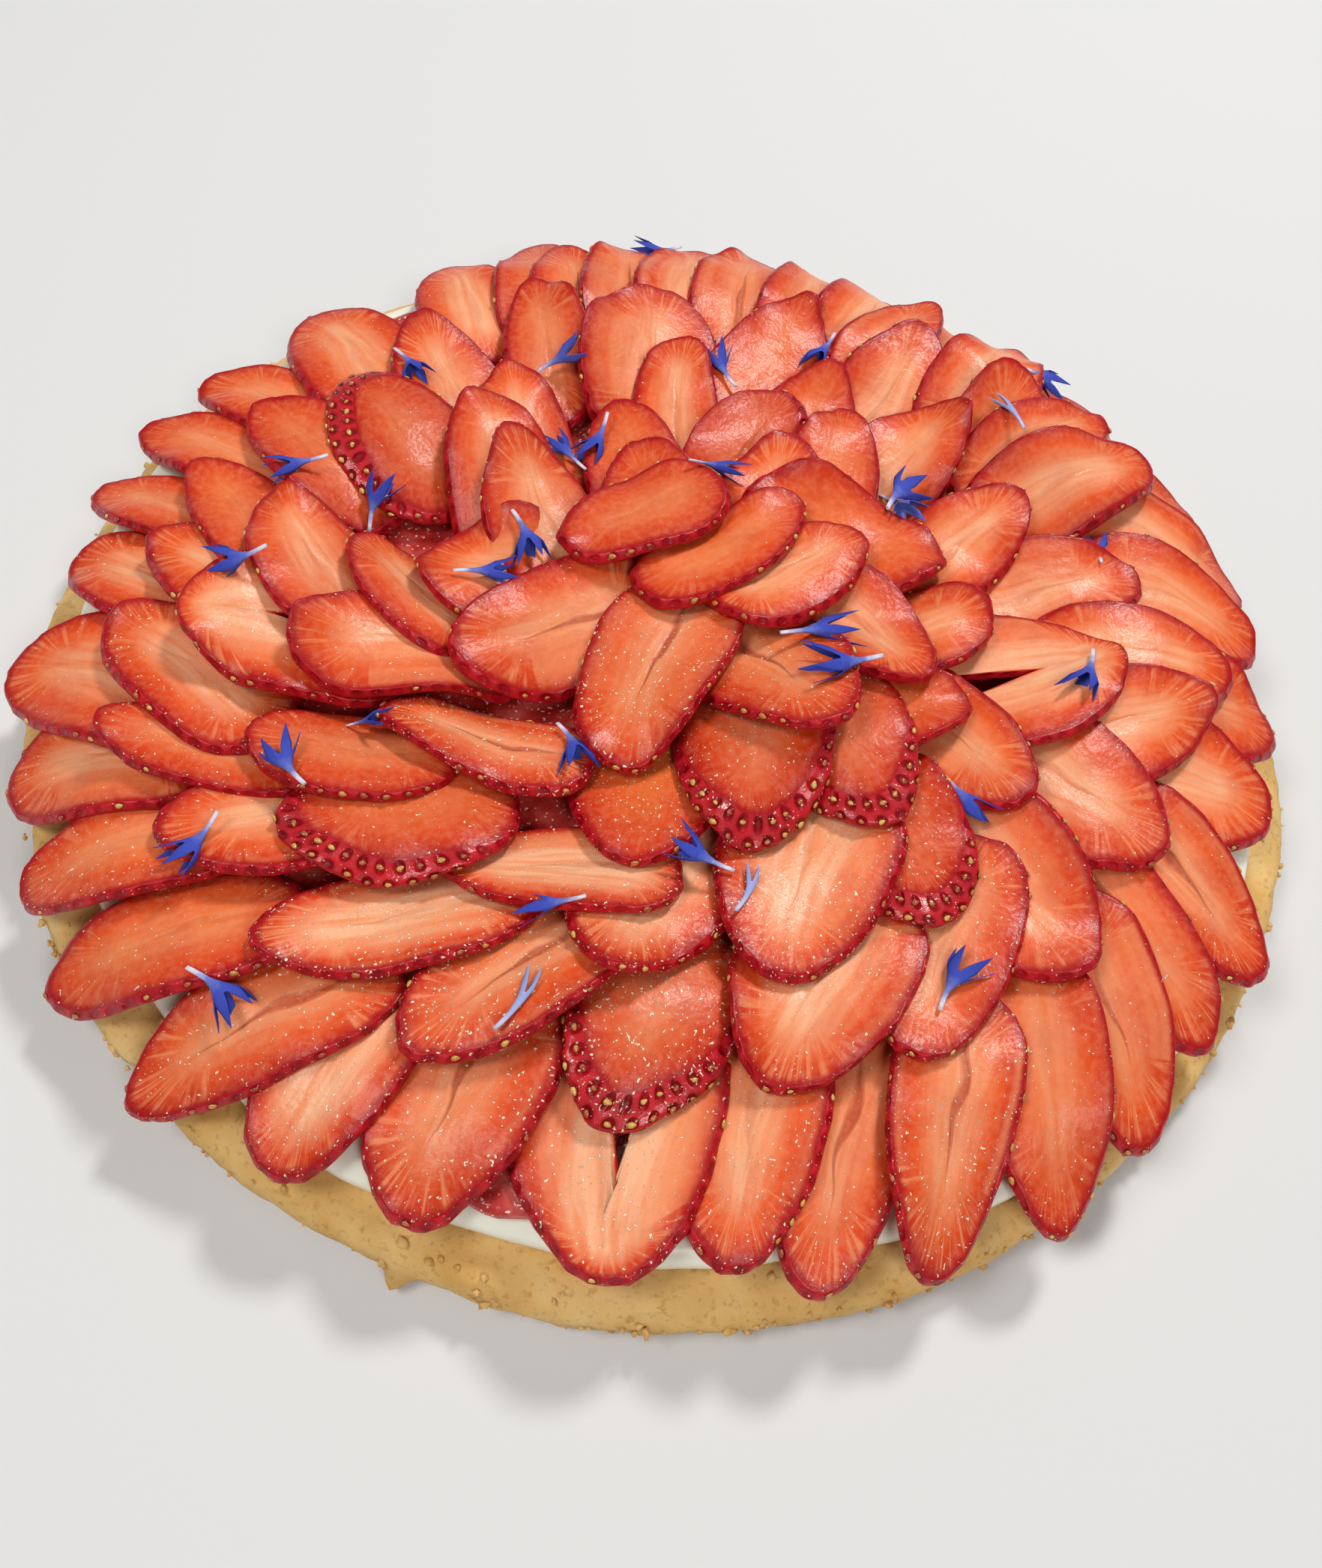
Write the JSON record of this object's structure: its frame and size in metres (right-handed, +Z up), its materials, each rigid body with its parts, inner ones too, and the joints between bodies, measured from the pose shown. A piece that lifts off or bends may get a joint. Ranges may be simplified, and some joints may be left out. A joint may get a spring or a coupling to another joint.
{
  "type": "strawberry tart",
  "caption": "Round open tart: flat shortcrust disc, cream layer and compote, covered by a domed rosette of overlapping strawberry slices.",
  "frame": {"origin": "centre of the crust's flat underside, which the tart rests on", "axes": "+Z straight up out of the base; -Y is the front, the side nearest the viewer"},
  "size_m": [0.2421, 0.2411, 0.0434],
  "materials": {
    "crust": "dry, crumbly golden shortcrust",
    "cream": "smooth glossy ivory cream",
    "compote": "wet translucent red fruit compote",
    "strawberry": "wet glazed fruit"
  },
  "bodies": {
    "root": {"crust": "crust", "cream": "cream", "compote": "compote", "slices_outer_01": "strawberry", "slices_outer_02": "strawberry", "slices_outer_03": "strawberry", "slices_outer_04": "strawberry", "slices_outer_05": "strawberry", "slices_outer_06": "strawberry", "slices_outer_07": "strawberry", "slices_outer_08": "strawberry", "slices_outer_09": "strawberry", "slices_outer_10": "strawberry", "slices_outer_11": "strawberry", "slices_outer_12": "strawberry", "slices_outer_13": "strawberry", "slices_outer_14": "strawberry", "slices_outer_15": "strawberry", "slices_outer_16": "strawberry", "slices_second_01": "strawberry", "slices_second_02": "strawberry", "slices_second_03": "strawberry", "slices_second_04": "strawberry", "slices_second_05": "strawberry", "slices_second_06": "strawberry", "slices_second_07": "strawberry", "slices_second_08": "strawberry", "slices_second_09": "strawberry", "slices_second_10": "strawberry", "slices_second_11": "strawberry", "slices_second_12": "strawberry", "slices_second_13": "strawberry", "slices_second_14": "strawberry", "slices_third_01": "strawberry", "slices_third_02": "strawberry", "slices_third_03": "strawberry", "slices_third_04": "strawberry", "slices_third_05": "strawberry", "slices_third_06": "strawberry", "slices_third_07": "strawberry", "slices_third_08": "strawberry", "slices_third_09": "strawberry", "slices_third_10": "strawberry", "slices_fourth_01": "strawberry", "slices_fourth_02": "strawberry", "slices_fourth_03": "strawberry", "slices_fourth_04": "strawberry", "slices_fourth_05": "strawberry", "slices_fourth_06": "strawberry", "slices_fourth_07": "strawberry", "slices_fourth_08": "strawberry", "slices_fourth_09": "strawberry", "slices_fourth_10": "strawberry", "slices_fifth_01": "strawberry", "slices_fifth_02": "strawberry", "slices_fifth_03": "strawberry", "slices_crown_01": "strawberry", "slices_crown_02": "strawberry", "slices_crown_03": "strawberry", "slices_crown_04": "strawberry"}
  },
  "joints": []
}
